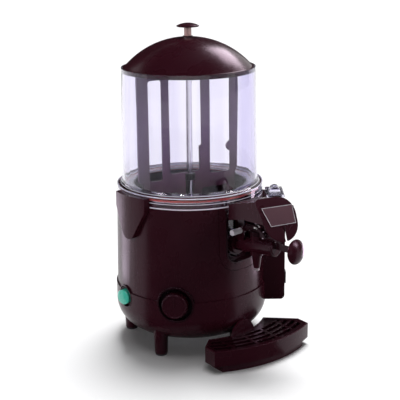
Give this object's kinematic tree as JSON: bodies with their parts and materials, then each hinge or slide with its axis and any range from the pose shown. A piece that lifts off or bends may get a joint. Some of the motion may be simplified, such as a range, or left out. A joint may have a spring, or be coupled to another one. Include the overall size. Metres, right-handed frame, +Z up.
{
  "type": "hot chocolate dispenser",
  "caption": "Countertop hot chocolate dispenser: clear lidded bowl with a stirring paddle over a heated water bath, lever tap, thermostat dial, push switch and drip tray.",
  "frame": {"origin": "on the table under the middle of the machine's bounding box", "axes": "+Z up, the tap and drip tray face -Y, +X to the right seen from the front"},
  "size_m": [0.2913, 0.4141, 0.58],
  "materials": {
    "cocoa_plastic": "semi-gloss moulded plastic, dark chocolate brown",
    "dark_plastic": "satin moulded plastic, darker brown",
    "clear_plastic": "clear polycarbonate with a faint violet tint",
    "grip_plastic": "translucent fluted plastic",
    "black_plastic": "black moulded plastic",
    "white_plastic": "food grade acetal, plain white",
    "grey_plastic": "light grey moulded plastic",
    "button_green": "translucent green lens",
    "badge": "bare plate, satin",
    "steel": "brushed stainless steel",
    "heater": "dark sheathed tube",
    "motor_paint": "dark enamel",
    "gear_case": "die-cast",
    "brass": "machined",
    "silicone": "red silicone",
    "rubber": "black rubber"
  },
  "bodies": {
    "machine": {"lower_casing": "cocoa_plastic", "upper_casing": "cocoa_plastic", "tap_bay_liner": "dark_plastic", "left_handle": "cocoa_plastic", "right_handle": "cocoa_plastic", "base_plate": "steel", "base_screws": "steel", "foot_pads": "rubber", "cord_gland": "rubber", "water_bath": "steel", "heating_element": "heater", "heater_nuts": "brass", "gearbox_housing": "gear_case", "gearbox_cover": "gear_case", "gearbox_posts": "steel", "motor": "motor_paint", "dial_bezel": "dark_plastic", "thermostat": "black_plastic", "switch_cup": "dark_plastic", "switch_body": "black_plastic", "terminal_block": "white_plastic", "side_housing": "cocoa_plastic", "filler_tube": "white_plastic"},
    "bowl_unit": {"bowl": "clear_plastic", "bowl_seal": "silicone", "column": "steel", "column_nut": "steel", "column_bush": "white_plastic", "tap_body": "cocoa_plastic", "tap_gasket": "silicone", "tap_lock_ring": "dark_plastic", "tap_end_cap": "dark_plastic", "nozzle": "cocoa_plastic", "nozzle_tip": "steel", "tap_bonnet": "dark_plastic", "tap_spring": "steel", "lever_pin": "grey_plastic", "tap_cover": "cocoa_plastic", "badge_plate": "badge"},
    "stirrer": {"paddle": "cocoa_plastic", "paddle_collar": "black_plastic", "paddle_cap": "dark_plastic"},
    "lid_unit": {"lid": "cocoa_plastic", "lid_knob": "cocoa_plastic", "knob_stem": "grip_plastic", "knob_base": "dark_plastic", "knob_screw": "steel"},
    "drive": {"drive_shaft": "steel", "drive_gear": "brass"},
    "pinion": {"motor_pinion": "brass"},
    "plunger": {"tap_plunger": "white_plastic", "plunger_ring": "rubber"},
    "lever": {"tap_lever": "dark_plastic", "lever_knob": "cocoa_plastic"},
    "dial": {"dial_knob": "cocoa_plastic"},
    "button": {"green_button": "button_green"},
    "filler_lid": {"filler_cap": "clear_plastic"},
    "plug": {"drain_plug": "rubber"},
    "tray": {"drip_tray": "cocoa_plastic"},
    "grille": {"drip_grille": "dark_plastic"}
  },
  "joints": [
    {"name": "bowl_lift", "type": "slide", "parent": "machine", "child": "bowl_unit", "axis": [0, 0, 1], "range_m": [0, 0.34]},
    {"name": "lid_lift", "type": "slide", "parent": "bowl_unit", "child": "lid_unit", "axis": [0, 0, 1], "range_m": [0, 0.1]},
    {"name": "paddle_spin", "type": "hinge", "parent": "bowl_unit", "child": "stirrer", "pos_m": [0, 0.056, 0.48], "axis": [0, 0, 1], "continuous": true},
    {"name": "drive_spin", "type": "hinge", "parent": "machine", "child": "drive", "pos_m": [0, 0.056, 0.088], "axis": [0, 0, 1], "continuous": true},
    {"name": "pinion_spin", "type": "hinge", "parent": "machine", "child": "pinion", "pos_m": [0, 0.0921, 0.088], "axis": [0, 0, 1], "continuous": true},
    {"name": "tap_lever_lift", "type": "hinge", "parent": "bowl_unit", "child": "lever", "pos_m": [0, -0.081, 0.232], "axis": [-1, 0, 0], "range_deg": [0, 19]},
    {"name": "plunger_lift", "type": "slide", "parent": "bowl_unit", "child": "plunger", "axis": [0, 0, 1], "range_m": [0, 0.01], "stiffness_N_per_m": 200, "springref_m": -0.006, "deforming": ["tap_spring"]},
    {"name": "dial_turn", "type": "hinge", "parent": "machine", "child": "dial", "pos_m": [-0.11455, -0.02273, 0.106], "axis": [-0.8241, -0.5664, 0], "range_deg": [-270, 0]},
    {"name": "button_press", "type": "slide", "parent": "machine", "child": "button", "axis": [0.9903, 0.1392, 0], "range_m": [0, 0.003], "stiffness_N_per_m": 400, "springref_m": -0.002},
    {"name": "filler_cap_lift", "type": "slide", "parent": "machine", "child": "filler_lid", "axis": [0, 0, 1], "range_m": [0, 0.04]},
    {"name": "drain_plug_pull", "type": "slide", "parent": "machine", "child": "plug", "axis": [0.7193, -0.6947, 0], "range_m": [0, 0.02]},
    {"name": "tray_slide", "type": "slide", "parent": "machine", "child": "tray", "axis": [0, -1, 0], "range_m": [0, 0.12]},
    {"name": "grille_lift", "type": "slide", "parent": "tray", "child": "grille", "axis": [0, 0, 1], "range_m": [0, 0.04]}
  ],
  "couplings": [
    {"joint": "paddle_spin", "follows": "drive_spin", "ratio": 1},
    {"joint": "pinion_spin", "follows": "drive_spin", "ratio": -5},
    {"joint": "plunger_lift", "follows": "tap_lever_lift", "m_per_rad": 0.029}
  ]
}
